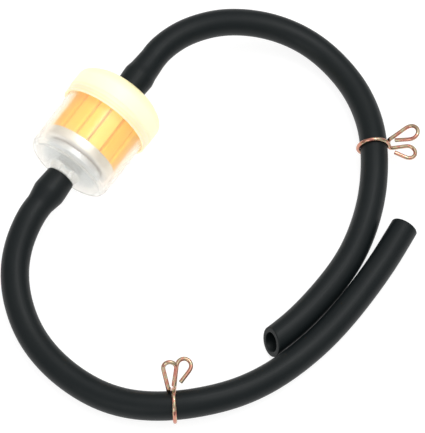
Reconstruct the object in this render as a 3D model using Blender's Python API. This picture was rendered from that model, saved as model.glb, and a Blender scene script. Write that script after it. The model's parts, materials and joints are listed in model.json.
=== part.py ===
"""Inline fuel filter lying on a table, with two rubber hoses and two spring-wire hose clips.

The frame is in metres with +Z up. The table is z = 0, and +X runs along the filter from its inlet
(bowl) end to its outlet (cap) end, with the origin on the table under the filter's middle. The
numbers below are in millimetres. A turned profile is a closed outline of (x, radius) points about
the filter's own axis, which leans a little because the cap is wider than the bowl.
"""
import math

import bmesh
import bpy
from mathutils import Matrix, Vector

MM = 0.001
GAP = 0.3  # kept between pieces that touch
ROUND_SIDES = 40

# Hose
HOSE_RADIUS = 4.5
HOSE_BORE_RADIUS = 3.0
STRETCHED_RADIUS = 5.45  # outside, over a spigot's barb

# Bowl, the clear lower half with the inlet spigot
BOWL_FLOOR_X = -17.6
BOWL_FOOT_X = -15.9
BOWL_FOOT_RADIUS = 14.7
BOWL_RIM_X = 9.0
BOWL_RIM_RADIUS = 15.05
BOWL_WALL = 1.3
INLET_HOSE_END_X = -20.5

# Cap, the cream upper half with the outlet spigot
SKIRT_EDGE_X = 3.7
SKIRT_RADIUS = 16.15
DRUM_RADIUS = 16.4
CAP_FACE_X = 17.0
CAP_ROOF_X = 14.2
CAP_WALL_INNER_RADIUS = 15.37
CAP_STEP_X = 10.9

# Spigots, one on each half
SPIGOT_TIP_X = 31.25
SPIGOT_RADIUS = 3.6
BARB_RADIUS = 4.25
SPIGOT_TIP_RADIUS = 3.2
SPIGOT_BORE_RADIUS = 1.9
BARB_FROM_HOSE_END = 6.5
STRAIGHT_END_X = 33.0  # where the hose's stretched, straight end becomes free hose

# Filter element and magnet
PLEATS = 14
PLEAT_OUTER_RADIUS = 12.05
PLEAT_INNER_RADIUS = 5.6
PAPER_SPREAD = 1.4  # the paper's thickness, measured along a radius
ELEMENT_LOW_X = -11.9
ELEMENT_HIGH_X = 11.0
END_CAP_RADIUS = 12.75
END_CAP_SHEET = 0.4
END_CAP_RIM_X = -9.2
TOP_DISC_RADIUS = 12.6
CORE_RADIUS = 3.6
CORE_WALL = 0.7
CORE_HOLE_RADIUS = 0.9
CORE_HOLE_ROWS = 5
MAGNET_X = (-15.3, -12.9)
MAGNET_RADIUS = 10.2
MAGNET_HOLE_RADIUS = 2.6

# Spring-wire clips
WIRE_RADIUS = 0.675
RING_RADIUS = HOSE_RADIUS + GAP + WIRE_RADIUS
CROSSING = 0.92  # each end of the wire stands this far to its side of the ring's middle
BEND_RADIUS = 0.9

# The cap's skirt and the bowl's foot both touch the table, which sets the lean and the height.
LEAN = math.atan2(SKIRT_RADIUS - BOWL_FOOT_RADIUS, SKIRT_EDGE_X - BOWL_FOOT_X)
AXIS_HEIGHT = SKIRT_RADIUS * math.cos(LEAN) - SKIRT_EDGE_X * math.sin(LEAN)

# Free hose routes, from just past the straight end to the cut end: points for curve_point to round off.
OUTLET_ROUTE = [
    (46, -2, 18.2), (55.5, -7, 16.5), (62.5, -12.5, 14.2), (69, -20.5, 11.2), (73, -30, 8.5),
    (74, -40, 6.5), (72, -50.5, 5), (67.5, -60.5, 5), (60.5, -69.5, 5.5), (53, -76, 6.5), (44, -82, 6),
    (34, -87, 5), (23, -90.5, 4.6), (12, -92.5, 4.6), (1, -92.5, 4.6), (-10, -91.5, 4.6), (-19, -90, 4.7),
    (-27.5, -87.5, 4.9),
]
INLET_ROUTE = [
    (-46, -1.7, 11.2), (-55, -6, 9), (-62.5, -13, 6.5), (-68.5, -22, 5), (-72, -32, 4.6), (-73.5, -42.5, 4.6),
    (-73, -53.5, 4.6), (-70, -64, 5.5), (-64, -74, 6.5), (-56.5, -82, 6.5), (-48, -88.5, 5), (-38, -94, 4.6),
    (-27, -97.8, 4.6), (-16, -100.3, 4.6), (-5, -101.5, 4.6), (6, -102, 4.6), (17, -102, 4.6),
    (25, -101.5, 4.6), (32, -101, 4.6),
]
HOSE_STEP = 9.0
HOSE_LEAD = 2.0  # first short step, so that the hose starts square to its straight end
CLIP_SEAT = 8.0  # straight stretch of hose under a clip

# Each clip: where it sits, as a share of the way from one route point to the next, how far its ring
# leans along the hose opposite the ears, and its two ears. An ear stands out at an angle from level,
# and its loop's middle, radius and free end are (distance from the hose's middle, distance along it).
CLIPS = {
    "outlet_clip": {
        "route_place": 9.1,
        "ring_lean": 0.8,
        "ears": (
            {"angle": 21, "loop": (13.2, -1.6), "loop_radius": 2.6, "end": (7.6, 0.0)},
            {"angle": -8, "loop": (12.0, 2.2), "loop_radius": 2.4, "end": (7.1, 2.5)},
        ),
    },
    "inlet_clip": {
        "route_place": 8.07,
        "ring_lean": 0.3,
        "ears": (
            {"angle": 58, "loop": (14.3, 0.1), "loop_radius": 2.05, "end": (7.4, 0.8)},
            {"angle": 15, "loop": (12.1, 4.3), "loop_radius": 2.3, "end": (6.9, 2.8)},
        ),
    },
}


def clear_scene():
    for ob in list(bpy.data.objects):
        bpy.data.objects.remove(ob, do_unlink=True)


def make_material(name, colour, roughness, metallic=0.0):
    mat = bpy.data.materials.new(name)
    mat.use_nodes = True
    shader = mat.node_tree.nodes["Principled BSDF"]
    shader.inputs["Base Color"].default_value = (*colour, 1.0)
    shader.inputs["Roughness"].default_value = roughness
    shader.inputs["Metallic"].default_value = metallic
    return mat


def make_empty(name, matrix):
    empty = bpy.data.objects.new(name, None)
    empty.matrix_world = matrix
    bpy.context.collection.objects.link(empty)
    return empty


def add_object(name, data, mat, parent=None):
    ob = bpy.data.objects.new(name, data)
    data.materials.append(mat)
    ob.parent = parent
    bpy.context.collection.objects.link(ob)
    return ob


def finish_mesh(bm, name, sharp_degrees=35):
    """Turns a bmesh in millimetres into a smooth-shaded mesh in metres, facing outwards."""
    bmesh.ops.recalc_face_normals(bm, faces=bm.faces)
    bmesh.ops.scale(bm, vec=(MM, MM, MM), verts=bm.verts)
    mesh = bpy.data.meshes.new(name)
    bm.to_mesh(mesh)
    bm.free()
    mesh.shade_smooth()
    mesh.set_sharp_from_angle(angle=math.radians(sharp_degrees))
    return mesh


def turned(name, profile, mat, parent):
    """A closed outline of (x, radius) points spun about X."""
    bm = bmesh.new()
    verts = [bm.verts.new((x, 0, radius)) for x, radius in profile]
    edges = [bm.edges.new((a, b)) for a, b in zip(verts, verts[1:] + verts[:1])]
    bmesh.ops.spin(
        bm, geom=verts + edges, cent=(0, 0, 0), axis=(1, 0, 0), angle=2 * math.pi,
        steps=ROUND_SIDES, use_merge=True,
    )
    return add_object(name, finish_mesh(bm, name), mat, parent)


def spigot_outline(hose_end_x):
    """The outside of a barbed spigot, from its root to its tip, on the side that hose_end_x is on."""
    side = math.copysign(1, hose_end_x)
    barb_x = hose_end_x + side * BARB_FROM_HOSE_END
    tip_x = side * SPIGOT_TIP_X
    return [
        (hose_end_x, SPIGOT_RADIUS),
        (barb_x - side * 0.4, SPIGOT_RADIUS),
        (barb_x, BARB_RADIUS),
        (barb_x + side * 0.7, BARB_RADIUS),
        (tip_x - side * 0.3, SPIGOT_TIP_RADIUS),
        (tip_x, SPIGOT_TIP_RADIUS - 0.3),
    ]


def make_bowl(mat, parent):
    foot_x = BOWL_FOOT_X
    foot_radius = BOWL_FOOT_RADIUS
    hub_x = INLET_HOSE_END_X + GAP
    floor_inside_x = BOWL_FLOOR_X + BOWL_WALL
    outline = list(reversed(spigot_outline(INLET_HOSE_END_X)))
    outline[-1] = (hub_x, SPIGOT_RADIUS)
    outline += [
        (hub_x, 5.0),
        (BOWL_FLOOR_X - 0.3, 5.6),
        (BOWL_FLOOR_X, foot_radius - 1.7),
        (foot_x - 1.2, foot_radius - 0.7),
        (foot_x - 0.5, foot_radius - 0.2),
        (foot_x, foot_radius),
        (BOWL_RIM_X, BOWL_RIM_RADIUS),
        (BOWL_RIM_X, BOWL_RIM_RADIUS - BOWL_WALL),
        (foot_x + 0.4, foot_radius - BOWL_WALL),
        (floor_inside_x, foot_radius - BOWL_WALL - 1.1),
        (floor_inside_x, SPIGOT_BORE_RADIUS),
        (-SPIGOT_TIP_X, SPIGOT_BORE_RADIUS),
    ]
    return turned("bowl", outline, mat, parent)


def make_cap(mat, parent):
    hose_end_x = CAP_FACE_X + GAP
    spigot = spigot_outline(hose_end_x)
    spigot[0] = (CAP_FACE_X, SPIGOT_RADIUS)
    outline = [
        (SKIRT_EDGE_X, SKIRT_RADIUS),
        (7.0, SKIRT_RADIUS),
        (7.2, DRUM_RADIUS),
        (11.9, DRUM_RADIUS),
        (13.2, 16.0),
        (14.3, 15.1),
        (15.6, 13.3),
        (16.5, 10.8),
        (CAP_FACE_X, 8.0),
    ] + spigot + [
        (SPIGOT_TIP_X, SPIGOT_BORE_RADIUS),
        (CAP_ROOF_X, SPIGOT_BORE_RADIUS),
        (CAP_ROOF_X, 13.2),
        (CAP_STEP_X, BOWL_RIM_RADIUS - BOWL_WALL),
        (CAP_STEP_X, CAP_WALL_INNER_RADIUS),
        (SKIRT_EDGE_X, CAP_WALL_INNER_RADIUS),
    ]
    return turned("cap", outline, mat, parent)


def tube_outline(low_x, high_x, inner, outer):
    return [(low_x, outer), (high_x, outer), (high_x, inner), (low_x, inner)]


def make_joint_gasket(mat, parent):
    """The flat ring squeezed between the bowl's rim and the step inside the cap."""
    outer = BOWL_RIM_RADIUS
    inner = BOWL_RIM_RADIUS - BOWL_WALL + 0.1
    return turned("joint_gasket", tube_outline(BOWL_RIM_X + GAP, CAP_STEP_X - GAP, inner, outer), mat, parent)


def make_pleated_element(mat, parent):
    """Paper folded into a star, as one closed band of even height."""
    bm = bmesh.new()
    rings = []
    for offset in (0.0, PAPER_SPREAD):
        ring = []
        for step in range(2 * PLEATS):
            radius = (PLEAT_OUTER_RADIUS if step % 2 == 0 else PLEAT_INNER_RADIUS) - offset
            angle = math.pi * step / PLEATS
            ring.append(bm.verts.new((ELEMENT_LOW_X, radius * math.sin(angle), radius * math.cos(angle))))
        rings.append(ring)
    outer, inner = rings
    faces = []
    for step in range(2 * PLEATS):
        after = (step + 1) % (2 * PLEATS)
        faces.append(bm.faces.new((outer[step], outer[after], inner[after], inner[step])))
    lifted = bmesh.ops.extrude_face_region(bm, geom=faces, use_keep_orig=True)
    top = [item for item in lifted["geom"] if isinstance(item, bmesh.types.BMVert)]
    bmesh.ops.translate(bm, vec=(ELEMENT_HIGH_X - ELEMENT_LOW_X, 0, 0), verts=top)
    return add_object("pleated_element", finish_mesh(bm, "pleated_element"), mat, parent)


def make_element_top_disc(mat, parent):
    """The bonding disc that seals the pleats and the core tube to the cap's roof."""
    outline = tube_outline(ELEMENT_HIGH_X + GAP, CAP_ROOF_X - GAP, CORE_RADIUS - CORE_WALL, TOP_DISC_RADIUS)
    return turned("element_top_disc", outline, mat, parent)


def make_element_end_cap(mat, parent):
    """The bright sheet-metal cup folded round the pleats' lower end, closed in the middle."""
    base_x = ELEMENT_LOW_X - GAP
    bm = bmesh.new()
    outline = [
        (base_x - END_CAP_SHEET, 0.0),
        (base_x - END_CAP_SHEET, END_CAP_RADIUS - 0.3),
        (base_x - END_CAP_SHEET + 0.3, END_CAP_RADIUS),
        (END_CAP_RIM_X, END_CAP_RADIUS),
        (END_CAP_RIM_X, END_CAP_RADIUS - END_CAP_SHEET),
        (base_x, END_CAP_RADIUS - END_CAP_SHEET),
        (base_x, 0.0),
    ]
    verts = [bm.verts.new((x, 0, radius)) for x, radius in outline]
    edges = [bm.edges.new(pair) for pair in zip(verts, verts[1:])]
    bmesh.ops.spin(
        bm, geom=verts + edges, cent=(0, 0, 0), axis=(1, 0, 0), angle=2 * math.pi,
        steps=ROUND_SIDES, use_merge=True,
    )
    bmesh.ops.remove_doubles(bm, verts=bm.verts, dist=0.001)
    return add_object("element_end_cap", finish_mesh(bm, "element_end_cap"), mat, parent)


def make_core_tube(mat, parent):
    """The tube inside the pleats, drilled crosswise in rows so that clean fuel can enter it."""
    outline = tube_outline(ELEMENT_LOW_X, ELEMENT_HIGH_X, CORE_RADIUS - CORE_WALL, CORE_RADIUS)
    core = turned("core_tube", outline, mat, parent)
    bm = bmesh.new()
    pitch = (ELEMENT_HIGH_X - ELEMENT_LOW_X) / (CORE_HOLE_ROWS + 1)
    for row in range(CORE_HOLE_ROWS):
        x = ELEMENT_LOW_X + pitch * (row + 1)
        turn = math.radians(90 * (row % 2) + 4.5)
        drill = Matrix.Translation((x, 0, 0)) @ Matrix.Rotation(turn, 4, "X")
        bmesh.ops.create_cone(
            bm, cap_ends=True, segments=12, radius1=CORE_HOLE_RADIUS, radius2=CORE_HOLE_RADIUS,
            depth=4 * CORE_RADIUS, matrix=drill,
        )
    cutter = add_object("core_drill", finish_mesh(bm, "core_drill"), mat, parent)
    cutter.hide_render = True
    cutter.display_type = "WIRE"
    cut = core.modifiers.new("holes", "BOOLEAN")
    cut.operation = "DIFFERENCE"
    cut.solver = "EXACT"
    cut.object = cutter
    return core


def make_magnet(mat, parent):
    outline = tube_outline(*MAGNET_X, MAGNET_HOLE_RADIUS, MAGNET_RADIUS)
    return turned("magnet", outline, mat, parent)


def make_hose_end(name, hose_end_x, mat, parent):
    """The straight end of a hose, stretched over its spigot."""
    side = math.copysign(1, hose_end_x)
    barb_x = hose_end_x + side * BARB_FROM_HOSE_END
    outline = [
        (hose_end_x, 4.95),
        (barb_x - side * 1.5, STRETCHED_RADIUS - 0.1),
        (barb_x + side * 0.8, STRETCHED_RADIUS),
        (barb_x + side * 3.2, 4.95),
        (side * (STRAIGHT_END_X - 1.2), 4.6),
        (side * STRAIGHT_END_X, HOSE_RADIUS),
        (side * STRAIGHT_END_X, HOSE_BORE_RADIUS),
        (side * (SPIGOT_TIP_X + GAP), HOSE_BORE_RADIUS + 0.2),
        (side * SPIGOT_TIP_X, SPIGOT_TIP_RADIUS + GAP),
        (barb_x + side * 0.7, BARB_RADIUS + GAP),
        (barb_x - side * 0.1, BARB_RADIUS + GAP),
        (barb_x - side * 0.8, SPIGOT_RADIUS + GAP),
        (hose_end_x, SPIGOT_RADIUS + GAP),
    ]
    return turned(name, outline, mat, parent)


def on_axis(x):
    """A point of the filter's axis, in the part's frame."""
    return Vector((x * math.cos(LEAN), 0.0, AXIS_HEIGHT + x * math.sin(LEAN)))


def curve_point(points, place):
    """The smooth curve that rounds off the line of points, where place counts the points passed."""
    index = min(int(place), len(points) - 2)
    share = place - index
    p1, p2 = points[index], points[index + 1]
    p0 = points[index - 1] if index else 2 * p1 - p2
    p3 = points[index + 2] if index + 2 < len(points) else 2 * p2 - p1
    square, cube = share * share, share ** 3
    return (
        p0 * (1 - share) ** 3 + p1 * (3 * cube - 6 * square + 4)
        + p2 * (3 * share + 3 * square - 3 * cube + 1) + p3 * cube
    ) / 6


def hose_points(route, side, clip_place):
    """The hose's middle line: a square start, even steps, and a straight seat under the clip."""
    start = [on_axis(side * (STRAIGHT_END_X + GAP)), on_axis(side * (STRAIGHT_END_X + 4))]
    points = start + [Vector(point) for point in route]
    fine = [curve_point(points, step / 40) for step in range(40 * (len(points) - 1) + 1)]
    distance = [0.0]
    for a, b in zip(fine, fine[1:]):
        distance.append(distance[-1] + (b - a).length)
    clip_at = distance[round(40 * (clip_place + len(start)))]
    seat_start, seat_end = clip_at - CLIP_SEAT / 2, clip_at + CLIP_SEAT / 2
    before = round((seat_start - HOSE_LEAD) / HOSE_STEP)
    after = round((distance[-1] - seat_end) / HOSE_STEP)
    wanted = [0.0]
    wanted += [HOSE_LEAD + (seat_start - HOSE_LEAD) * step / before for step in range(before + 1)]
    wanted += [seat_end + (distance[-1] - seat_end) * step / after for step in range(after + 1)]
    line = []
    for target in wanted:
        index = min(range(len(fine)), key=lambda i: abs(distance[i] - target))
        line.append(fine[index])
    return line, before + 1


def wire_tube(name, line, radius, resolution, mat, parent=None):
    """A round bar that follows the line of points."""
    curve = bpy.data.curves.new(name, "CURVE")
    curve.dimensions = "3D"
    curve.bevel_depth = radius * MM
    curve.bevel_resolution = resolution
    curve.use_fill_caps = True
    spline = curve.splines.new("POLY")
    spline.points.add(len(line) - 1)
    for point, place in zip(spline.points, line):
        point.co = (*(place * MM), 1.0)
    spline.use_smooth = True
    return add_object(name, curve, mat, parent)


def ring_to_ear(angle, comes_from):
    """The bend that turns the wire from the ring outwards at angle (radians)."""
    bend = []
    for step in range(5):
        turn = math.pi / 2 * step / 4
        along = comes_from * BEND_RADIUS * (1 - math.sin(turn))
        out = RING_RADIUS + BEND_RADIUS * (1 - math.cos(turn))
        bend.append((out, along))
    return [
        (out * math.cos(angle) - along * math.sin(angle), out * math.sin(angle) + along * math.cos(angle))
        for out, along in bend
    ]


def ear_loop(ear, root):
    """The ear in its own plane as (out, along) points: a leg, the loop round its tip, the free end."""
    centre = Vector(ear["loop"])
    end = Vector(ear["end"])
    radius = ear["loop_radius"]
    leg = centre - root
    leg_angle = math.atan2(leg.y, leg.x) - math.asin(radius / leg.length)
    back = centre - end
    back_angle = math.atan2(back.y, back.x) + math.asin(radius / back.length)
    first = leg_angle - math.pi / 2
    last = back_angle + math.pi / 2
    points = [root]
    for step in range(13):
        turn = first + (last - first) * step / 12
        points.append(centre + radius * Vector((math.cos(turn), math.sin(turn))))
    points.append(end)
    return points


def even_steps(line, step):
    """The same line with points about step apart."""
    out = [line[0]]
    for a, b in zip(line, line[1:]):
        pieces = max(1, round((b - a).length / step))
        out += [a.lerp(b, piece / pieces) for piece in range(1, pieces + 1)]
    return out


def clip_line(clip):
    """The wire's middle line about the hose's own axis: ear, one turn and a bit, ear."""
    upper, lower = clip["ears"]
    high = math.radians(upper["angle"])
    low = math.radians(lower["angle"])
    skip = math.atan2(BEND_RADIUS, RING_RADIUS)
    sweep = 2 * math.pi + high - low
    ears = []
    for ear, angle, along, comes_from in ((upper, high, -CROSSING, -1), (lower, low, CROSSING, 1)):
        root = Vector((RING_RADIUS + BEND_RADIUS, along))
        points = [Vector((along, y, z)) for y, z in ring_to_ear(angle, comes_from)]
        for place in ear_loop(ear, root)[1:]:
            points.append(Vector((place.y, place.x * math.cos(angle), place.x * math.sin(angle))))
        ears.append(points)
    ring = []
    for step in range(1, 40):
        turned_by = skip + (sweep - 2 * skip) * step / 40
        angle = high - turned_by
        middle = (high + low) / 2
        along = CROSSING * (2 * turned_by / sweep - 1)
        along += clip["ring_lean"] * (1 - math.cos(angle - middle)) / 2
        ring.append(Vector((along, RING_RADIUS * math.cos(angle), RING_RADIUS * math.sin(angle))))
    line = even_steps(list(reversed(ears[0])) + ring + ears[1], 0.9)
    for _ in range(2):
        line[1:-1] = [(a + 2 * b + c) / 4 for a, b, c in zip(line, line[1:], line[2:])]
    return line


def seat_matrix(line, index):
    """The clip's own frame: X along the hose at the middle of its straight seat, Z up."""
    low, high = line[index], line[index + 1]
    along = (high - low).normalized()
    level = Vector((0, 0, 1)).cross(along).normalized()
    up = along.cross(level)
    matrix = Matrix((along, level, up)).transposed().to_4x4()
    matrix.translation = (low + high) / 2 * MM
    return matrix


def main():
    clear_scene()
    clear_plastic = make_material("clear_plastic", (0.90, 0.89, 0.86), 0.25)
    cream_plastic = make_material("cream_plastic", (0.95, 0.88, 0.62), 0.35)
    paper = make_material("filter_paper", (0.95, 0.62, 0.15), 0.8)
    potting = make_material("potting", (0.85, 0.80, 0.70), 0.5)
    silver = make_material("silver_sheet", (0.80, 0.81, 0.82), 0.3, 1.0)
    magnet_grey = make_material("magnet", (0.55, 0.57, 0.60), 0.35, 1.0)
    white_plastic = make_material("white_plastic", (0.85, 0.85, 0.82), 0.5)
    gasket_rubber = make_material("gasket_rubber", (0.75, 0.45, 0.32), 0.7)
    hose_rubber = make_material("hose_rubber", (0.02, 0.022, 0.022), 0.55)
    zinc = make_material("yellow_zinc", (0.80, 0.58, 0.36), 0.25, 1.0)

    lean = Matrix.Translation((0, 0, AXIS_HEIGHT * MM)) @ Matrix.Rotation(-LEAN, 4, "Y")
    axis = make_empty("filter_axis", lean)
    make_bowl(clear_plastic, axis)
    make_cap(cream_plastic, axis)
    make_joint_gasket(gasket_rubber, axis)
    make_pleated_element(paper, axis)
    make_element_top_disc(potting, axis)
    make_element_end_cap(silver, axis)
    make_core_tube(white_plastic, axis)
    make_magnet(magnet_grey, axis)
    make_hose_end("outlet_hose_end", CAP_FACE_X + GAP, hose_rubber, axis)
    make_hose_end("inlet_hose_end", INLET_HOSE_END_X, hose_rubber, axis)

    for hose, clip_name, route, side in (
        ("outlet_hose", "outlet_clip", OUTLET_ROUTE, 1),
        ("inlet_hose", "inlet_clip", INLET_ROUTE, -1),
    ):
        clip = CLIPS[clip_name]
        line, seat = hose_points(route, side, clip["route_place"])
        wire_tube(hose, line, HOSE_RADIUS, 4, hose_rubber)
        clip_axis = make_empty(clip_name + "_axis", seat_matrix(line, seat))
        wire_tube(clip_name, clip_line(clip), WIRE_RADIUS, 2, zinc, clip_axis)


main()
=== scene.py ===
"""The looks of the inline fuel filter, its two hoses and their spring-wire clips.

Lengths are in millimetres until a mesh is finished, and the frame is the CAD model's: +Z up from the
table, +X along the filter. Every round piece is an outline of (distance along a line, radius) points
turned about that line: the filter's straight axis, a hose's curve or a clip's wire.
"""
import json
import math
import bmesh
import bpy
from mathutils import Matrix, Vector, noise


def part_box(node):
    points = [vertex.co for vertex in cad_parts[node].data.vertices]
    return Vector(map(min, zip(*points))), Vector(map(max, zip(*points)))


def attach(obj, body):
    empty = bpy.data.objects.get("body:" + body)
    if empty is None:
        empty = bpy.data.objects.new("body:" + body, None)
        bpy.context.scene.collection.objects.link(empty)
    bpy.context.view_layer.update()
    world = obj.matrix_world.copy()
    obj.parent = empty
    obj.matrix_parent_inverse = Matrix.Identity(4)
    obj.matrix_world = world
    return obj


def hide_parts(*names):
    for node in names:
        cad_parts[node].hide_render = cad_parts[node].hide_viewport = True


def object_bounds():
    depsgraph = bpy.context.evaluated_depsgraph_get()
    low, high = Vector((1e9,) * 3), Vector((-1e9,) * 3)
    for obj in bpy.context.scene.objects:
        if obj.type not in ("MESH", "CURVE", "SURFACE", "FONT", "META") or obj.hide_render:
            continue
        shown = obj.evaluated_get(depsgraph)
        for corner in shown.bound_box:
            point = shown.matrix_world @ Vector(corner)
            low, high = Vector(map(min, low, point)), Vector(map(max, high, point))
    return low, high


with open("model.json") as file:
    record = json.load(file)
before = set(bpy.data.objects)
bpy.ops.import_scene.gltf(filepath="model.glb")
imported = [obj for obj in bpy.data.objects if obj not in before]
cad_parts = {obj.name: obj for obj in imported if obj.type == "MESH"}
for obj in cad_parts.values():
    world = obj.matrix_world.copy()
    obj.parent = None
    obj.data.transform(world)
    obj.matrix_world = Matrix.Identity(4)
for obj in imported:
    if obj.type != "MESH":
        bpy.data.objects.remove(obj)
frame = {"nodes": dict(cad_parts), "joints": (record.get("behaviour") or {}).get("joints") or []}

CAD_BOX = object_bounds()
MM = 0.001

# The hose: 6 mm bore, a little over 9 mm outside, stretched over the barb of each spigot.
HOSE_RADIUS = 4.6
BORE_RADIUS = 3.0
OUTLET_HOSE_END_X = 17.3
INLET_HOSE_END_X = -20.5
STRAIGHT_END_X = 33.0
BARB_FROM_HOSE_END = 6.5
SPIGOT_TIP_X = 31.25
SPIGOT_RADIUS = 3.6
BARB_RADIUS = 4.25

# Free hose routes, from just past the straight end to the cut end: points for curve_point to round off.
OUTLET_ROUTE = [
    (46, -2, 18.2), (55.5, -7, 16.5), (62.5, -12.5, 14.2), (69, -20.5, 11.2), (73, -30, 8.5),
    (74, -40, 6.5), (72, -50.5, 5), (67.5, -60.5, 5), (60.5, -69.5, 5.5), (53, -76, 6.5), (44, -82, 6),
    (34, -87, 5), (23, -90.5, 4.6), (12, -92.5, 4.6), (1, -92.5, 4.6), (-10, -91.5, 4.6), (-19, -90, 4.7),
    (-27.5, -87.5, 4.9),
]
INLET_ROUTE = [
    (-46, -1.7, 11.2), (-55, -6, 9), (-62.5, -13, 6.5), (-68.5, -22, 5), (-72, -32, 4.6), (-73.5, -42.5, 4.6),
    (-73, -53.5, 4.6), (-70, -64, 5.5), (-64, -74, 6.5), (-56.5, -82, 6.5), (-48, -88.5, 5), (-38, -94, 4.6),
    (-27, -97.8, 4.6), (-16, -100.3, 4.6), (-5, -101.5, 4.6), (6, -102, 4.6), (17, -102, 4.6),
    (25, -101.5, 4.6), (32, -101, 4.6),
]

# The clips' wire. Its two legs pass each other at CROSSING to each side of the ring's middle. An ear's
# angle is in degrees about the hose, and its loop's middle and its free end are (out, along) places.
WIRE_RADIUS = 0.675
RING_RADIUS = HOSE_RADIUS + WIRE_RADIUS
CROSSING = 0.92
BEND_RADIUS = 0.9
CLIPS = {
    "outlet_clip": {
        "ring_lean": 0.8,
        "ears": (
            {"angle": 21, "loop": (13.2, -1.6), "loop_radius": 2.6, "end": (7.6, 0.0)},
            {"angle": -8, "loop": (12.0, 2.2), "loop_radius": 2.4, "end": (7.1, 2.5)},
        ),
    },
    "inlet_clip": {
        "ring_lean": 0.3,
        "ears": (
            {"angle": 58, "loop": (14.3, 0.1), "loop_radius": 2.05, "end": (7.4, 0.8)},
            {"angle": 15, "loop": (12.1, 4.3), "loop_radius": 2.3, "end": (6.9, 2.8)},
        ),
    },
}


# ---------------------------------------------------------------- lines and turned shapes

class Line:
    """A smooth line in space that gives a place and a frame at any distance along it."""

    def __init__(self, points, start=0.0):
        self.points = [Vector(point) for point in points]
        self.along = [start]
        for a, b in zip(self.points, self.points[1:]):
            self.along.append(self.along[-1] + (b - a).length)
        tangents = []
        last = len(self.points) - 1
        for index in range(last + 1):
            low, high = self.points[max(index - 1, 0)], self.points[min(index + 1, last)]
            tangents.append((high - low).normalized())
        across = tangents[0].cross(Vector((0, 0, 1)))
        if across.length < 1e-6:
            across = Vector((0, 1, 0))
        across.normalize()
        self.frames = []
        for index, tangent in enumerate(tangents):
            if index:
                across = (across - tangent * across.dot(tangent)).normalized()
            self.frames.append((tangent, across, tangent.cross(across)))

    @property
    def length(self):
        return self.along[-1] - self.along[0]

    def at(self, distance):
        """The place and the frame (tangent, across, up) at a distance, straight on past the ends."""
        along = self.along
        if distance <= along[0]:
            tangent, across, up = self.frames[0]
            return self.points[0] + tangent * (distance - along[0]), tangent, across, up
        if distance >= along[-1]:
            tangent, across, up = self.frames[-1]
            return self.points[-1] + tangent * (distance - along[-1]), tangent, across, up
        low, high = 0, len(along) - 1
        while high - low > 1:
            middle = (low + high) // 2
            if along[middle] <= distance:
                low = middle
            else:
                high = middle
        share = (distance - along[low]) / (along[high] - along[low])
        place = self.points[low].lerp(self.points[high], share)
        tangent = self.frames[low][0].lerp(self.frames[high][0], share).normalized()
        across = self.frames[low][1].lerp(self.frames[high][1], share)
        across = (across - tangent * across.dot(tangent)).normalized()
        return place, tangent, across, tangent.cross(across)


def round_corner(before, corner, after, fillet, fine):
    """The arc of radius fillet that replaces a corner of an outline."""
    to_before, to_after = before - corner, after - corner
    u, v = to_before.normalized(), to_after.normalized()
    half = 0.5 * math.acos(max(-1.0, min(1.0, u.dot(v))))
    if fillet <= 0 or half > math.radians(88) or half < math.radians(2):
        return [corner]
    back = min(fillet / math.tan(half), 0.49 * to_before.length, 0.49 * to_after.length)
    radius = back * math.tan(half)
    centre = corner + (u + v).normalized() * (radius / math.sin(half))
    start, end = corner + u * back - centre, corner + v * back - centre
    turn = start.angle(end)
    steps = max(1, math.ceil(turn / math.radians(fine)))
    arc = []
    for step in range(steps + 1):
        share = step / steps
        a, b = math.sin((1 - share) * turn) / math.sin(turn), math.sin(share * turn) / math.sin(turn)
        arc.append(centre + start * a + end * b)
    return arc


def rounded(outline, closed=True, fine=22):
    """An outline of (x, radius, fillet) points with its corners rounded."""
    points = [Vector(item[:2]) for item in outline]
    fillets = [item[2] if len(item) > 2 else 0.0 for item in outline]
    count = len(points)
    out = []
    for index in range(count):
        if not closed and index in (0, count - 1):
            out.append(points[index])
            continue
        before, after = points[index - 1], points[(index + 1) % count]
        out += round_corner(before, points[index], after, fillets[index], fine)
    return out


def filled(outline, step, closed=True):
    """The outline again with extra points, so that none are further apart than step along the line."""
    out = []
    pairs = zip(outline, outline[1:] + (outline[:1] if closed else []))
    for a, b in pairs:
        pieces = max(1, math.ceil(abs(b[0] - a[0]) / step))
        out += [a.lerp(b, piece / pieces) for piece in range(pieces)]
    if not closed:
        out.append(outline[-1])
    return out


def turned(name, outline, line, sides, closed=True, slant=None):
    """An outline of (distance, radius) points turned about a line. An open outline ends on the line."""
    bm = bmesh.new()
    coordinates = bm.loops.layers.uv.new("turned")
    rings = []
    for distance, radius in outline:
        place, tangent, across, up = line.at(distance)
        if radius < 1e-5:
            rings.append([bm.verts.new(place)])
            continue
        ring = []
        for side in range(sides):
            angle = 2 * math.pi * side / sides
            out = across * math.cos(angle) + up * math.sin(angle)
            spot = place + out * radius
            if slant:
                spot = spot + tangent * slant(distance, out * radius)
            ring.append(bm.verts.new(spot))
        rings.append(ring)
    count = len(rings)
    pairs = [(i, (i + 1) % count) for i in range(count if closed else count - 1)]
    for i, j in pairs:
        low, high = rings[i], rings[j]
        if len(low) == 1 and len(high) == 1:
            continue
        for side in range(sides):
            corners = [
                (low, i, side), (high, j, side), (high, j, side + 1), (low, i, side + 1),
            ]
            if len(low) == 1:
                corners = corners[:3]
            elif len(high) == 1:
                corners = [corners[0], corners[1], corners[3]]
            face = bm.faces.new([
                ring[0] if len(ring) == 1 else ring[at % sides] for ring, _, at in corners
            ])
            for loop, (_, k, at) in zip(face.loops, corners):
                loop[coordinates].uv = (at / sides, outline[k][0] * MM)
    bmesh.ops.recalc_face_normals(bm, faces=bm.faces)
    return finish_piece(name, bm)


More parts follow.
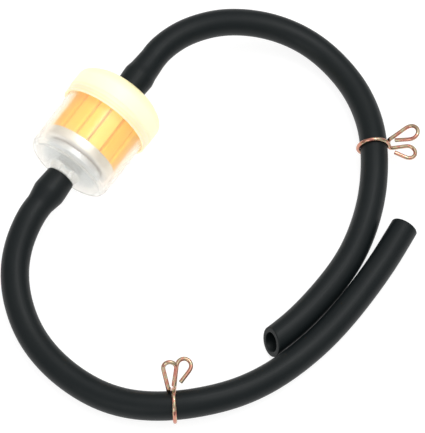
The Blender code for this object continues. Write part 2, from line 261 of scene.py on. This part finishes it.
def finish_piece(name, bm, sharp_degrees=38):
    """Turns a bmesh in millimetres into an object in metres, smooth but for its sharp edges."""
    bmesh.ops.scale(bm, vec=(MM, MM, MM), verts=bm.verts)
    mesh = bpy.data.meshes.new(name)
    bm.to_mesh(mesh)
    bm.free()
    mesh.shade_smooth()
    mesh.set_sharp_from_angle(angle=math.radians(sharp_degrees))
    ob = bpy.data.objects.new(name, mesh)
    bpy.context.collection.objects.link(ob)
    return ob


def dress(piece, material, body, slot, *nodes):
    """Gives a piece its material and its body, and hides the CAD nodes it stands for. The slot is not used.
    """
    piece.data.materials.clear()
    piece.data.materials.append(material)
    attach(piece, body)
    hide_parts(*nodes)


# ---------------------------------------------------------------- materials

class Nodes:
    """A material's node tree with short ways to add to it."""

    def __init__(self, name):
        self.material = bpy.data.materials.new(name)
        self.material.use_nodes = True
        self.tree = self.material.node_tree
        self.shader = self.tree.nodes["Principled BSDF"]
        self.output = self.tree.nodes["Material Output"]
        self.coordinates = self.tree.nodes.new("ShaderNodeTexCoord")

    def set(self, **values):
        for name, value in values.items():
            socket = self.shader.inputs[name.replace("_", " ")]
            socket.default_value = (*value, 1.0) if isinstance(value, tuple) else value

    def add(self, kind, inputs=None, **properties):
        node = self.tree.nodes.new(kind)
        for name, value in properties.items():
            setattr(node, name, value)
        for name, value in (inputs or {}).items():
            if isinstance(value, bpy.types.NodeSocket):
                self.tree.links.new(value, node.inputs[name])
            else:
                node.inputs[name].default_value = value
        return node

    def link(self, output, input_name):
        self.tree.links.new(output, self.shader.inputs[input_name])

    def stretched(self, source, scale):
        return self.add("ShaderNodeMapping", {"Vector": source, "Scale": scale}).outputs["Vector"]

    def noise(self, vector, scale, detail=3.0, roughness=0.5):
        node = self.add(
            "ShaderNodeTexNoise",
            {"Vector": vector, "Scale": scale, "Detail": detail, "Roughness": roughness},
        )
        return node.outputs["Fac"]

    def ramp(self, factor, stops):
        """A colour ramp through (place, colour) stops; a colour may be one grey number."""
        node = self.add("ShaderNodeValToRGB", {"Fac": factor})
        elements = node.color_ramp.elements
        while len(elements) < len(stops):
            elements.new(0.5)
        for element, (place, colour) in zip(elements, stops):
            element.position = place
            element.color = (*colour, 1.0) if isinstance(colour, tuple) else (colour, colour, colour, 1.0)
        return node.outputs["Color"]

    def turned_along(self):
        """The distance along the line that a turned piece follows."""
        uv = self.add("ShaderNodeUVMap", uv_map="turned").outputs["UV"]
        return self.add("ShaderNodeSeparateXYZ", {"Vector": uv}).outputs["Y"]

    def share(self, value, low_mm, high_mm):
        """How far value is from low to high, from 0 to 1."""
        inputs = {"Value": value, "From Min": low_mm * MM, "From Max": high_mm * MM}
        return self.add("ShaderNodeMapRange", inputs).outputs["Result"]

    def tint(self, colour, factor, strength):
        """The colour, darkened here and there by a noise."""
        darker = self.ramp(factor, [(0.3, 1.0 - strength), (0.7, 1.0)])
        node = self.add("ShaderNodeVectorMath", {0: colour, 1: darker}, operation="MULTIPLY")
        return node.outputs["Vector"]

    def bump(self, height, strength, distance_mm):
        inputs = {"Height": height, "Strength": strength, "Distance": distance_mm * MM}
        self.link(self.add("ShaderNodeBump", inputs).outputs["Normal"], "Normal")

    def let_light_in(self, colour):
        """Lets straight light through, so that what is inside is lit: glass alone would shade it."""
        path = self.add("ShaderNodeLightPath")
        clear = self.add("ShaderNodeBsdfTransparent", {"Color": (*colour, 1.0)})
        mix = self.add("ShaderNodeMixShader", {"Fac": path.outputs["Is Shadow Ray"]})
        self.tree.links.new(self.shader.outputs["BSDF"], mix.inputs[1])
        self.tree.links.new(clear.outputs["BSDF"], mix.inputs[2])
        self.tree.links.new(mix.outputs["Shader"], self.output.inputs["Surface"])


def hose_rubber():
    """Matt black extruded rubber: fine pores, faint drawn lines along it and a little dust."""
    m = Nodes("hose_rubber")
    m.set(Roughness=0.46, Specular_IOR_Level=0.2)
    uv = m.add("ShaderNodeUVMap", uv_map="turned").outputs["UV"]
    place = m.coordinates.outputs["Object"]
    lines = m.noise(m.stretched(uv, (60.0, 25.0, 1.0)), 1.0, 3.0)
    pores = m.noise(place, 2600.0, 2.0)
    dust = m.noise(place, 70.0, 4.0, 0.6)
    height = m.add("ShaderNodeMath", {0: lines, 1: pores}, operation="ADD").outputs[0]
    m.bump(height, 0.12, 0.12)
    m.link(m.ramp(dust, [(0.3, (0.0042, 0.0072, 0.0082)), (0.75, (0.0075, 0.0104, 0.0110))]), "Base Color")
    m.link(m.ramp(lines, [(0.25, 0.38), (0.8, 0.52)]), "Roughness")
    return m.material


def clear_plastic():
    """Milky see-through plastic: clearer towards the cap end, greyer and hazier at the bottom."""
    m = Nodes("clear_plastic")
    m.set(IOR=1.3, Specular_IOR_Level=0.4)
    along = m.turned_along()
    haze = m.noise(m.coordinates.outputs["Object"], 240.0, 3.0)
    flow = m.noise(m.stretched(m.coordinates.outputs["Object"], (60.0, 220.0, 220.0)), 1.0, 3.0)
    place = m.share(along, -20.0, 10.0)
    colour = m.ramp(place, [
        (0.00, (0.91, 0.93, 0.93)), (0.12, (0.93, 0.93, 0.91)),
        (0.20, (0.98, 0.92, 0.86)), (0.60, (0.99, 0.91, 0.80)),
    ])
    m.link(m.tint(colour, haze, 0.03), "Base Color")
    # Painted glow: the peach emission, a little stronger at the bottom, stands in for light scattered through
    # the milky wall.
    m.set(Emission_Color=(1.0, 0.94, 0.82))
    m.link(m.ramp(place, [(0.10, 0.06), (0.25, 0.05), (0.40, 0.045)]), "Emission Strength")
    m.link(m.ramp(place, [(0.10, 0.74), (0.22, 0.87), (0.40, 0.96)]), "Transmission Weight")
    m.link(m.ramp(haze, [(0.3, 0.16), (0.8, 0.24)]), "Roughness")
    m.bump(flow, 0.08, 0.15)
    m.let_light_in((0.95, 0.93, 0.90))
    return m.material


def cream_plastic():
    """Thin cream plastic, clear and peach at its skirt, with a painted glow: its emission stands in for light
    coming through it.
    """
    m = Nodes("cream_plastic")
    # Painted glow: the emission, in the plastic's own colour, stands in for light coming through the thin
    # plastic.
    m.set(Roughness=0.36, IOR=1.4, Emission_Strength=0.14)
    along = m.share(m.turned_along(), 3.5, 17.5)
    blotch = m.noise(m.coordinates.outputs["Object"], 90.0, 3.0)
    grain = m.noise(m.coordinates.outputs["Object"], 1500.0, 2.0)
    colour = m.ramp(along, [
        (0.00, (1.0, 0.93, 0.72)), (0.04, (1.0, 0.97, 0.86)), (0.07, (0.99, 0.85, 0.62)),
        (0.11, (1.0, 0.95, 0.80)), (0.15, (0.99, 0.87, 0.70)), (0.19, (1.0, 0.95, 0.80)),
        (0.23, (0.99, 0.90, 0.70)), (0.30, (1.0, 0.97, 0.70)), (0.55, (1.0, 0.98, 0.72)),
        (0.75, (0.99, 0.94, 0.60)), (0.95, (0.98, 0.90, 0.50)),
    ])
    m.link(m.tint(colour, blotch, 0.04), "Base Color")
    m.link(colour, "Emission Color")
    m.link(m.ramp(along, [(0.16, 0.62), (0.30, 0.12)]), "Transmission Weight")
    m.bump(grain, 0.06, 0.1)
    m.let_light_in((0.70, 0.60, 0.36))
    return m.material


def filter_paper():
    """Resin-treated paper with fibres running round it. Each fold has its own amber colour, partly a tone
    that differs from fold to fold and partly painted light and shade: the folds that face up are painted
    paler, as if lit, and some folds are graded across as if one side were in shade.
    """
    m = Nodes("filter_paper")
    # Painted glow: the emission, in each fold's colour, stands in for light coming through the paper.
    m.set(Roughness=0.85, Specular_IOR_Level=0.15, Emission_Strength=0.13)
    place = m.coordinates.outputs["Object"]
    fibre = m.noise(m.stretched(place, (900.0, 1600.0, 1600.0)), 1.0, 4.0, 0.65)
    uv = m.add("ShaderNodeUVMap", uv_map="turned").outputs["UV"]
    around = m.add("ShaderNodeSeparateXYZ", {"Vector": uv}).outputs["X"]
    # Painted light and shade: the fold colours make the folds that face up paler, as if lit, and grade some
    # folds across as if one side were in shade.
    shade = m.ramp(around, paper_tones_and_light_stops())
    m.link(m.tint(shade, fibre, 0.08), "Base Color")
    m.link(shade, "Emission Color")
    m.bump(fibre, 0.35, 0.12)
    return m.material


def silver_sheet():
    """Bright tin-plated sheet with a soft sheen, drawn lines round it and cloudy stains."""
    m = Nodes("silver_sheet")
    m.set(Metallic=0.9, Roughness=0.32)
    place = m.coordinates.outputs["Object"]
    brushed = m.noise(m.stretched(place, (2500.0, 160.0, 160.0)), 1.0, 3.0)
    stain = m.noise(place, 150.0, 3.0)
    m.link(m.ramp(stain, [(0.3, (0.74, 0.79, 0.79)), (0.8, (0.64, 0.69, 0.71))]), "Base Color")
    m.link(m.ramp(brushed, [(0.2, 0.30), (0.8, 0.44)]), "Roughness")
    m.bump(brushed, 0.10, 0.05)
    return m.material


def magnet_metal():
    """Sintered magnet: blue-grey, fine-grained, with a dull shine."""
    m = Nodes("magnet_metal")
    m.set(Metallic=0.8, Roughness=0.38)
    place = m.coordinates.outputs["Object"]
    grain = m.noise(place, 900.0, 4.0)
    m.link(m.ramp(grain, [(0.3, (0.42, 0.49, 0.55)), (0.75, (0.54, 0.60, 0.66))]), "Base Color")
    m.bump(grain, 0.15, 0.05)
    return m.material


def plain_moulding(name, low, high, roughness, scale):
    """Plain plastic or rubber between two close colours."""
    m = Nodes(name)
    m.set(Roughness=roughness)
    place = m.coordinates.outputs["Object"]
    m.link(m.ramp(m.noise(place, scale, 4.0), [(0.3, low), (0.75, high)]), "Base Color")
    m.bump(m.noise(place, scale * 8, 2.0), 0.15, 0.08)
    return m.material


def yellow_zinc():
    """Yellow-passivated zinc on wire: pink, gold and greenish patches along its length."""
    m = Nodes("yellow_zinc")
    m.set(Metallic=1.0, Roughness=0.22)
    uv = m.add("ShaderNodeUVMap", uv_map="turned").outputs["UV"]
    patch = m.noise(m.stretched(uv, (1.6, 260.0, 1.0)), 1.0, 2.0, 0.6)
    scratch = m.noise(m.stretched(uv, (26.0, 500.0, 1.0)), 1.0, 4.0, 0.6)
    m.link(m.ramp(patch, [
        (0.28, (0.46, 0.15, 0.12)), (0.40, (0.56, 0.25, 0.19)), (0.50, (0.60, 0.30, 0.21)),
        (0.58, (0.48, 0.46, 0.30)), (0.66, (0.58, 0.29, 0.22)), (0.78, (0.42, 0.14, 0.13)),
    ]), "Base Color")
    m.link(m.ramp(scratch, [(0.3, 0.12), (0.8, 0.28)]), "Roughness")
    m.bump(scratch, 0.12, 0.04)
    return m.material


# ---------------------------------------------------------------- the filter

def middle_of(node):
    """The middle of a CAD node's box, in millimetres."""
    low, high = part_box(node)
    return (low + high) / 2 / MM


# The filter's axis goes through the middles of the magnet and the top disc. Distances along it are counted
# so that the magnet's middle is at this one.
MAGNET_MIDDLE_X = -14.1
AXIS_LOW, AXIS_HIGH = middle_of("magnet"), middle_of("element_top_disc")
AXIS_WAY = (AXIS_HIGH - AXIS_LOW).normalized()
AXIS_ZERO = AXIS_LOW - AXIS_WAY * MAGNET_MIDDLE_X
AXIS = Line([AXIS_ZERO + AXIS_WAY * -40, AXIS_ZERO + AXIS_WAY * 40], -40)
SIDES = 112


def spigot_outline(side, root_x):
    """The outside of a barbed spigot from its root to its tip."""
    hose_end = OUTLET_HOSE_END_X if side > 0 else INLET_HOSE_END_X
    barb_x = hose_end + side * BARB_FROM_HOSE_END
    return [
        (root_x, SPIGOT_RADIUS, 0.3),
        (barb_x - side * 0.4, SPIGOT_RADIUS, 0.2),
        (barb_x, BARB_RADIUS, 0.15),
        (barb_x + side * 0.7, BARB_RADIUS, 0.2),
        (side * SPIGOT_TIP_X, 3.0, 0.3),
        (side * SPIGOT_TIP_X, 1.9, 0.2),
    ]


def make_bowl():
    """The clear bowl from its rim to its foot, with its spigot: one thin-walled outline."""
    outline = [
        (9.0, 15.05, 0.3),
        (9.0, 13.75, 0.3),
        (-15.5, 13.4, 0.9),
        (-16.3, 12.4, 0.6),
        (-16.3, 1.9, 0.3),
    ] + list(reversed(spigot_outline(-1, -20.2))) + [
        (-20.2, 5.0, 0.3),
        (-17.9, 5.6, 0.5),
        (-17.6, 12.9, 1.2),
        (-16.9, 14.1, 0.7),
        (-15.7, 14.7, 0.8),
    ]
    return turned("bowl_shell", rounded(outline), AXIS, SIDES)


def make_cap():
    """The cap from the lip of its skirt over its shoulder, with its spigot, and back inside."""
    outline = [
        (3.7, 16.15, 0.35),
        (7.0, 16.2, 0.15),
        (7.2, 16.4, 0.15),
        (11.9, 16.4, 0.5),
        (13.3, 16.0, 1.0),
        (14.5, 14.9, 1.2),
        (15.9, 12.7, 2.0),
        (16.9, 8.4, 2.0),
    ] + spigot_outline(1, 17.0) + [
        (14.2, 1.9, 0.3),
        (14.2, 13.2, 0.6),
        (10.9, 13.75, 0.3),
        (10.9, 15.37, 0.3),
        (3.7, 15.37, 0.3),
    ]
    return turned("cap_shell", rounded(outline), AXIS, SIDES)


# The pleats. The valleys between the folds that face up are not quite evenly spaced. Each fold has a colour
# at each of
# its two edges: partly a tone that differs from fold to fold, partly painted light and shade, paler on the
# folds that face up and graded across a fold as if one side were lit. The list starts at the side where the
# turning starts and goes round the element once.
FOLDS = 14
FOLD_TOP_RADIUS = 12.5
FOLD_VALLEY_RADIUS = 5.5
FOLD_TOP_SHARE = 0.80
PAPER_THICKNESS = 0.34
PAPER_LOW_X = -11.85
PAPER_LENGTH = 22.8
PAPER_ROWS = 16
FIRST_VALLEY = -20.0
UNEVEN = {10: 5.0, 11: 6.0}
AMBER, ORANGE, GOLD = (0.84, 0.42, 0.04), (0.92, 0.50, 0.04), (0.92, 0.60, 0.06)
YELLOW, PALE = (0.82, 0.57, 0.05), (0.86, 0.67, 0.14)
FOLD_TONES_AND_PAINTED_LIGHT = (
    (GOLD, ORANGE), (ORANGE, ORANGE), (GOLD, AMBER), (AMBER, GOLD), (YELLOW, GOLD),
    (ORANGE, GOLD), (GOLD, GOLD), (AMBER, ORANGE), (ORANGE, GOLD), (ORANGE, ORANGE),
    (ORANGE, GOLD), (YELLOW, YELLOW), (PALE, PALE), (ORANGE, GOLD),
)


def valley_angle(fold):
    """Degrees round the axis of the valley before a fold."""
    return FIRST_VALLEY + 360 * fold / FOLDS + UNEVEN.get(fold % FOLDS, 0.0)


def paper_tones_and_light_stops():
    """The colour ramp's stops: each fold's colour near its two edges, its painted light and shade included.
    """
    stops = []
    for fold, (first, last) in enumerate(FOLD_TONES_AND_PAINTED_LIGHT):
        stops += [((fold + 0.12) / FOLDS, first), ((fold + 0.88) / FOLDS, last)]
    return stops


def pleat_section():
    """The paper's own line across the axis, closed: flat-topped folds with narrow valleys."""
    section = []
    for fold in range(FOLDS):
        low, high = valley_angle(fold), valley_angle(fold + 1)
        edge = (high - low) * (1 - FOLD_TOP_SHARE) / 2
        tilt = 0.25 * noise.noise(Vector((fold * 0.73, 1.7, 0.0)))
        for radius, degrees, fillet in (
            (FOLD_VALLEY_RADIUS, low, 0.35), (FOLD_TOP_RADIUS + tilt, low + edge, 0.5),
            (FOLD_TOP_RADIUS - tilt, high - edge, 0.5),
        ):
            angle = math.radians(degrees)
            section.append((radius * math.cos(angle), radius * math.sin(angle), fillet))
    return rounded(section, fine=30)


def make_paper():
    """Pleated paper as a thin sheet with two faces. Its UV says how far round the element a face is."""
    half = PAPER_THICKNESS / 2
    section = pleat_section()
    count = len(section)
    outlines = []
    for way in (1, -1):
        ring = []
        for index, point in enumerate(section):
            before, after = section[index - 1], section[(index + 1) % count]
            along = (after - before).normalized()
            ring.append(point + Vector((along.y, -along.x)) * half * way)
        outlines.append(ring)
    stations = [PAPER_LOW_X + PAPER_LENGTH * step / PAPER_ROWS for step in range(PAPER_ROWS + 1)]
    bm = bmesh.new()
    coordinates = bm.loops.layers.uv.new("turned")
    sheets = []
    for ring in outlines:
        rows = []
        for x in stations:
            place, _, across, up = AXIS.at(x)
            row = []
            for index, point in enumerate(ring):
                sway = 0.10 * noise.noise(Vector((index * 0.21, x * 0.13, 5.0)))
                row.append(bm.verts.new(place + across * point.x + up * (point.y + sway)))
            rows.append(row)
        sheets.append(rows)

    def add_face(corners, index):
        middle = section[index].lerp(section[(index + 1) % count], 0.5)
        degrees = math.degrees(math.atan2(middle.y, middle.x))
        if degrees < FIRST_VALLEY:
            degrees += 360
        fold = max(i for i in range(FOLDS) if valley_angle(i) <= degrees)
        width = valley_angle(fold + 1) - valley_angle(fold)
        around = (fold + (degrees - valley_angle(fold)) / width) / FOLDS
        for loop in bm.faces.new(corners).loops:
            loop[coordinates].uv = (around, 0.0)

    for rows in sheets:
        for low, high in zip(rows, rows[1:]):
            for index in range(count):
                after = (index + 1) % count
                add_face((low[index], low[after], high[after], high[index]), index)
    for row in (0, -1):
        outer, inner = sheets[0][row], sheets[1][row]
        for index in range(count):
            after = (index + 1) % count
            add_face((outer[index], outer[after], inner[after], inner[index]), index)
    bmesh.ops.recalc_face_normals(bm, faces=bm.faces)
    return finish_piece("pleated_paper", bm, 50)


def make_end_cap():
    """The sheet-metal cup: a rolled rim, a rounded foot and a shallow pressed step."""
    outline = [
        (-9.2, 12.35, 0.15),
        (-9.2, 12.85, 0.2),
        (-12.3, 12.75, 0.6),
        (-12.65, 11.0, 0.3),
        (-12.5, 10.4, 0.2),
        (-12.6, 0.0),
    ]
    inner = [(-12.2, 0.0), (-12.2, 11.0, 0.3), (-12.15, 12.35, 0.3)]
    points = rounded(inner + outline, closed=False)
    return turned("end_cap_cup", points, AXIS, SIDES, closed=False)


def make_magnet():
    outline = [
        (-15.3, 2.6, 0.25), (-15.3, 10.2, 0.35), (-12.9, 10.2, 0.35), (-12.9, 2.6, 0.25),
    ]
    return turned("magnet_ring", rounded(outline), AXIS, SIDES)


def make_top_disc():
    outline = [(11.3, 2.95, 0.2), (11.3, 12.6, 0.4), (13.9, 12.6, 0.4), (13.9, 2.95, 0.2)]
    return turned("top_disc_bonded", rounded(outline), AXIS, SIDES)


def make_gasket():
    outline = [(9.3, 13.9, 0.25), (9.3, 15.0, 0.25), (10.6, 15.0, 0.25), (10.6, 13.9, 0.25)]
    return turned("joint_gasket_ring", rounded(outline), AXIS, SIDES)


# ---------------------------------------------------------------- the hoses

HOSE_SIDES = 56
HOSE_ROW_LENGTH = 1.6
STEPS_ON_SPIGOT = 16
STEPS_PER_POINT = 12
# The free hose starts past a narrow gap, and is still straight up to its second point.
FREE_HOSE_GAP = 0.3
FREE_HOSE_STRAIGHT = 4
# The slant of a cut end fades out over this length.
CUT_REACH = 5.0


def curve_point(points, place):
    """The smooth curve that rounds off the line of points, where place counts the points passed."""
    index = min(int(place), len(points) - 2)
    share = place - index
    p1, p2 = points[index], points[index + 1]
    p0 = points[index - 1] if index else 2 * p1 - p2
    p3 = points[index + 2] if index + 2 < len(points) else 2 * p2 - p1
    square, cube = share * share, share ** 3
    return (
        p0 * (1 - share) ** 3 + p1 * (3 * cube - 6 * square + 4)
        + p2 * (3 * share + 3 * square - 3 * cube + 1) + p3 * cube
    ) / 6


def hose_line(route, hose_end_x, side):
    """The middle line of a hose from its end on the spigot to its cut end."""
    gap_x = side * (STRAIGHT_END_X + FREE_HOSE_GAP)
    straight_x = side * (STRAIGHT_END_X + FREE_HOSE_STRAIGHT)
    first, *straight = [AXIS.at(x)[0] for x in (hose_end_x, gap_x, straight_x)]
    points = straight + [Vector(point) for point in route]
    steps = STEPS_PER_POINT * (len(points) - 1)
    fine = [first.lerp(straight[0], step / STEPS_ON_SPIGOT) for step in range(STEPS_ON_SPIGOT)]
    fine += [curve_point(points, step / STEPS_PER_POINT) for step in range(steps + 1)]
    return Line(fine)


def make_hose(name, line, side, cut_normal):
    """The whole hose: bored, swollen over the spigot's barb, its free end cut along a plane."""
    total = line.length
    barb = BARB_FROM_HOSE_END
    tip = SPIGOT_TIP_X - (OUTLET_HOSE_END_X if side > 0 else -INLET_HOSE_END_X)
    outside = [
        (0.0, 4.95, 0.35),
        (barb - 1.6, 5.35, 2.0),
        (barb + 0.4, 5.45, 2.0),
        (barb + 3.0, 4.95, 3.0),
        (tip + 0.8, 4.55, 3.0),
        (tip + 6.0, HOSE_RADIUS, 0.0),
        (total - 6.0, HOSE_RADIUS, 0.0),
        (total, HOSE_RADIUS, 0.3),
    ]
    bore = [
        (total, BORE_RADIUS, 0.25),
        (tip + 3.0, BORE_RADIUS, 0.0),
        (tip, 3.3, 0.0),
        (barb + 0.9, 4.3, 0.0),
        (barb - 0.2, 4.3, 0.0),
        (barb - 0.8, SPIGOT_RADIUS + 0.05, 0.0),
        (0.0, SPIGOT_RADIUS + 0.05, 0.1),
    ]
    outline = filled(rounded(outside + bore), HOSE_ROW_LENGTH)
    tangent = line.at(total)[1]
    normal = Vector(cut_normal).normalized() if cut_normal else tangent

    def slant(distance, out):
        share = max(0.0, min(1.0, (distance - total + CUT_REACH) / CUT_REACH))
        return -share * normal.dot(out) / normal.dot(tangent)

    return turned(name, outline, line, HOSE_SIDES, slant=slant)


# ---------------------------------------------------------------- the clips

WIRE_SIDES = 20
WIRE_ROW_LENGTH = 0.35
WIRE_LINE_STEP = 0.4
WIRE_CHAMFER = 0.12
BEND_STEPS = 6
LOOP_STEPS = 24
RING_STEPS = 72
SMOOTHING_PASSES = 6


def ring_to_ear(angle, comes_from):
    """The bend that turns the wire from the ring outwards at angle (radians)."""
    bend = []
    for step in range(BEND_STEPS + 1):
        turn = math.pi / 2 * step / BEND_STEPS
        along = comes_from * BEND_RADIUS * (1 - math.sin(turn))
        out = RING_RADIUS + BEND_RADIUS * (1 - math.cos(turn))
        bend.append((out, along))
    return [
        (out * math.cos(angle) - along * math.sin(angle), out * math.sin(angle) + along * math.cos(angle))
        for out, along in bend
    ]


def ear_loop(ear, root):
    """The ear in its own plane as (out, along) points: a leg, the loop round its tip, the free end."""
    centre = Vector(ear["loop"])
    end = Vector(ear["end"])
    radius = ear["loop_radius"]
    leg = centre - root
    leg_angle = math.atan2(leg.y, leg.x) - math.asin(radius / leg.length)
    back = centre - end
    back_angle = math.atan2(back.y, back.x) + math.asin(radius / back.length)
    first = leg_angle - math.pi / 2
    last = back_angle + math.pi / 2
    points = [root]
    for step in range(LOOP_STEPS + 1):
        turn = first + (last - first) * step / LOOP_STEPS
        points.append(centre + radius * Vector((math.cos(turn), math.sin(turn))))
    points.append(end)
    return points


def clip_line(clip):
    """The wire's middle line about the hose's own axis: ear, one turn and a bit, ear."""
    upper, lower = clip["ears"]
    high = math.radians(upper["angle"])
    low = math.radians(lower["angle"])
    skip = math.atan2(BEND_RADIUS, RING_RADIUS)
    sweep = 2 * math.pi + high - low
    ears = []
    for ear, angle, along, comes_from in ((upper, high, -CROSSING, -1), (lower, low, CROSSING, 1)):
        root = Vector((RING_RADIUS + BEND_RADIUS, along))
        points = [Vector((along, y, z)) for y, z in ring_to_ear(angle, comes_from)]
        for place in ear_loop(ear, root)[1:]:
            points.append(Vector((place.y, place.x * math.cos(angle), place.x * math.sin(angle))))
        ears.append(points)
    ring = []
    for step in range(1, RING_STEPS):
        turned_by = skip + (sweep - 2 * skip) * step / RING_STEPS
        angle = high - turned_by
        middle = (high + low) / 2
        along = CROSSING * (2 * turned_by / sweep - 1)
        along += clip["ring_lean"] * (1 - math.cos(angle - middle)) / 2
        ring.append(Vector((along, RING_RADIUS * math.cos(angle), RING_RADIUS * math.sin(angle))))
    line = []
    rough = list(reversed(ears[0])) + ring + ears[1]
    for a, b in zip(rough, rough[1:]):
        pieces = max(1, round((b - a).length / WIRE_LINE_STEP))
        line += [a.lerp(b, piece / pieces) for piece in range(pieces)]
    line.append(rough[-1])
    for _ in range(SMOOTHING_PASSES):
        line[1:-1] = [(a + 2 * b + c) / 4 for a, b, c in zip(line, line[1:], line[2:])]
    return line


def joint_frame(name):
    """A clip's own frame from its joint: X along the hinge, Y level, Z up."""
    joint = next(item for item in frame["joints"] if item["name"] == name)
    along = Vector(joint["axis"]).normalized()
    level = Vector((0, 0, 1)).cross(along).normalized()
    matrix = Matrix((along, level, along.cross(level))).transposed().to_4x4()
    matrix.translation = Vector(joint["pos_m"]) / MM
    return matrix


def make_clip(name):
    place = joint_frame(name + "_turn")
    line = Line([place @ point for point in clip_line(CLIPS[name])])
    total = line.length
    outline = [
        Vector(item) for item in (
            (0.0, 0.0), (0.0, WIRE_RADIUS - WIRE_CHAMFER), (WIRE_CHAMFER, WIRE_RADIUS),
            (total - WIRE_CHAMFER, WIRE_RADIUS), (total, WIRE_RADIUS - WIRE_CHAMFER), (total, 0.0),
        )
    ]
    rows = filled(outline, WIRE_ROW_LENGTH, closed=False)
    return turned(name + "_wire", rows, line, WIRE_SIDES, closed=False)


# ---------------------------------------------------------------- stage, lights, camera

FLOOR_HALF_WIDTH = 2200
FLOOR_Z = -0.4
CAMERA_ELEVATION = math.radians(62)
CAMERA_HEADING = math.radians(34.2)
CAMERA_DISTANCE = 0.6
CAMERA_LENS = 152.47
# Millimetres from the middle of the CAD box to the place on the table that the camera looks at
TARGET_SHIFT = (1.74, -0.13)


def make_floor():
    """White ground that glows, so that it stays white under soft lights."""
    bm = bmesh.new()
    signs = ((-1, -1), (1, -1), (1, 1), (-1, 1))
    corners = [bm.verts.new((x * FLOOR_HALF_WIDTH, y * FLOOR_HALF_WIDTH, FLOOR_Z)) for x, y in signs]
    bm.faces.new(corners)
    floor = finish_piece("floor", bm)
    m = Nodes("floor_white")
    m.set(Base_Color=(0.30, 0.30, 0.30), Roughness=0.9, Specular_IOR_Level=0.0)
    m.set(Emission_Color=(1.0, 1.0, 1.0), Emission_Strength=0.83)
    floor.data.materials.append(m.material)


def area_light(name, place, target, size, power):
    data = bpy.data.lights.new(name, "AREA")
    data.shape = "RECTANGLE"
    data.size, data.size_y = size
    data.energy = power
    ob = bpy.data.objects.new(name, data)
    bpy.context.collection.objects.link(ob)
    ob.location = place
    ob.rotation_euler = (target - place).to_track_quat("-Z", "Y").to_euler()


def make_lights(target, away):
    """A broad key light, a small bright one for highlights, and a fill from the lower left of the view."""
    right = Vector((away.y, -away.x, 0))
    up = Vector((0, 0, 1))
    overhead = target + up * 0.75 + right * 0.2 + away * 0.1
    area_light("key", overhead, target, (0.9, 0.7), 2.1)
    area_light("spark", overhead - up * 0.02, target, (0.14, 0.14), 0.8)
    area_light("fill", target + up * 0.45 - away * 0.75 - right * 0.4, target, (0.35, 0.35), 1.2)


def make_world():
    """Soft light from all round, dim at the level of the table and bright overhead."""
    world = bpy.data.worlds.new("studio")
    world.use_nodes = True
    tree = world.node_tree
    coordinates = tree.nodes.new("ShaderNodeTexCoord")
    split = tree.nodes.new("ShaderNodeSeparateXYZ")
    ramp = tree.nodes.new("ShaderNodeValToRGB")
    for element, (height, grey) in zip(ramp.color_ramp.elements, ((0.05, 0.24), (0.85, 0.85))):
        element.position = height
        element.color = (grey, grey, grey, 1.0)
    tree.links.new(coordinates.outputs["Generated"], split.inputs["Vector"])
    tree.links.new(split.outputs["Z"], ramp.inputs["Fac"])
    tree.links.new(ramp.outputs["Color"], tree.nodes["Background"].inputs["Color"])
    bpy.context.scene.world = world


def make_camera():
    """The camera. Returns the place it looks at and the level direction away from it."""
    low, high = (Vector(corner) for corner in CAD_BOX)
    middle = (low + high) / 2
    target = Vector((middle.x + TARGET_SHIFT[0] * MM, middle.y + TARGET_SHIFT[1] * MM, 0.0))
    away = Vector((math.cos(CAMERA_HEADING), math.sin(CAMERA_HEADING), 0))
    data = bpy.data.cameras.new("camera")
    data.sensor_fit = "HORIZONTAL"
    data.sensor_width = 36
    data.lens = CAMERA_LENS
    camera = bpy.data.objects.new("camera", data)
    bpy.context.collection.objects.link(camera)
    above = Vector((0, 0, CAMERA_DISTANCE * math.sin(CAMERA_ELEVATION)))
    camera.location = target - away * CAMERA_DISTANCE * math.cos(CAMERA_ELEVATION) + above
    camera.rotation_euler = (target - camera.location).to_track_quat("-Z", "Y").to_euler()
    bpy.context.scene.camera = camera
    return target, away


# ---------------------------------------------------------------- putting it together

rubber = hose_rubber()
zinc = yellow_zinc()
# Name, route, where it starts on its spigot, side, the direction its cut faces (None: square) and its
# whole length in metres
HOSES = (
    ("outlet_hose", OUTLET_ROUTE, OUTLET_HOSE_END_X, 1, (-0.80, 0.47, 0.35), 0.2075),
    ("inlet_hose", INLET_ROUTE, INLET_HOSE_END_X, -1, None, 0.216),
)
for hose_name, route, hose_end_x, side, cut_normal, real_length in HOSES:
    middle = hose_line(route, hose_end_x, side)
    hose = make_hose(hose_name + "_bored", middle, side, cut_normal)
    dress(hose, rubber, "filter", "hose_rubber", hose_name, hose_name + "_end")

dress(make_bowl(), clear_plastic(), "filter", "clear_plastic", "bowl")
dress(make_cap(), cream_plastic(), "filter", "cream_plastic", "cap")
dress(make_paper(), filter_paper(), "filter", "filter_paper", "pleated_element")
dress(make_end_cap(), silver_sheet(), "filter", "silver_sheet", "element_end_cap")
dress(make_magnet(), magnet_metal(), "filter", "magnet", "magnet")
dress(
    make_top_disc(), plain_moulding("potting", (0.80, 0.72, 0.50), (0.90, 0.82, 0.60), 0.5, 260.0),
    "filter", "potting", "element_top_disc",
)
dress(
    make_gasket(), plain_moulding("gasket_rubber", (0.72, 0.40, 0.30), (0.80, 0.48, 0.36), 0.6, 400.0),
    "filter", "gasket_rubber", "joint_gasket",
)
white_plastic = plain_moulding("white_plastic", (0.80, 0.79, 0.74), (0.88, 0.87, 0.83), 0.45, 300.0)
frame["nodes"]["core_tube"].material_slots[0].material = white_plastic
for clip_name in CLIPS:
    dress(make_clip(clip_name), zinc, clip_name, "yellow_zinc", clip_name)

make_floor()
make_lights(*make_camera())
make_world()
bpy.context.scene.view_settings.view_transform = "Standard"
bpy.context.scene.view_settings.look = "None"

bpy.context.view_layer.update()
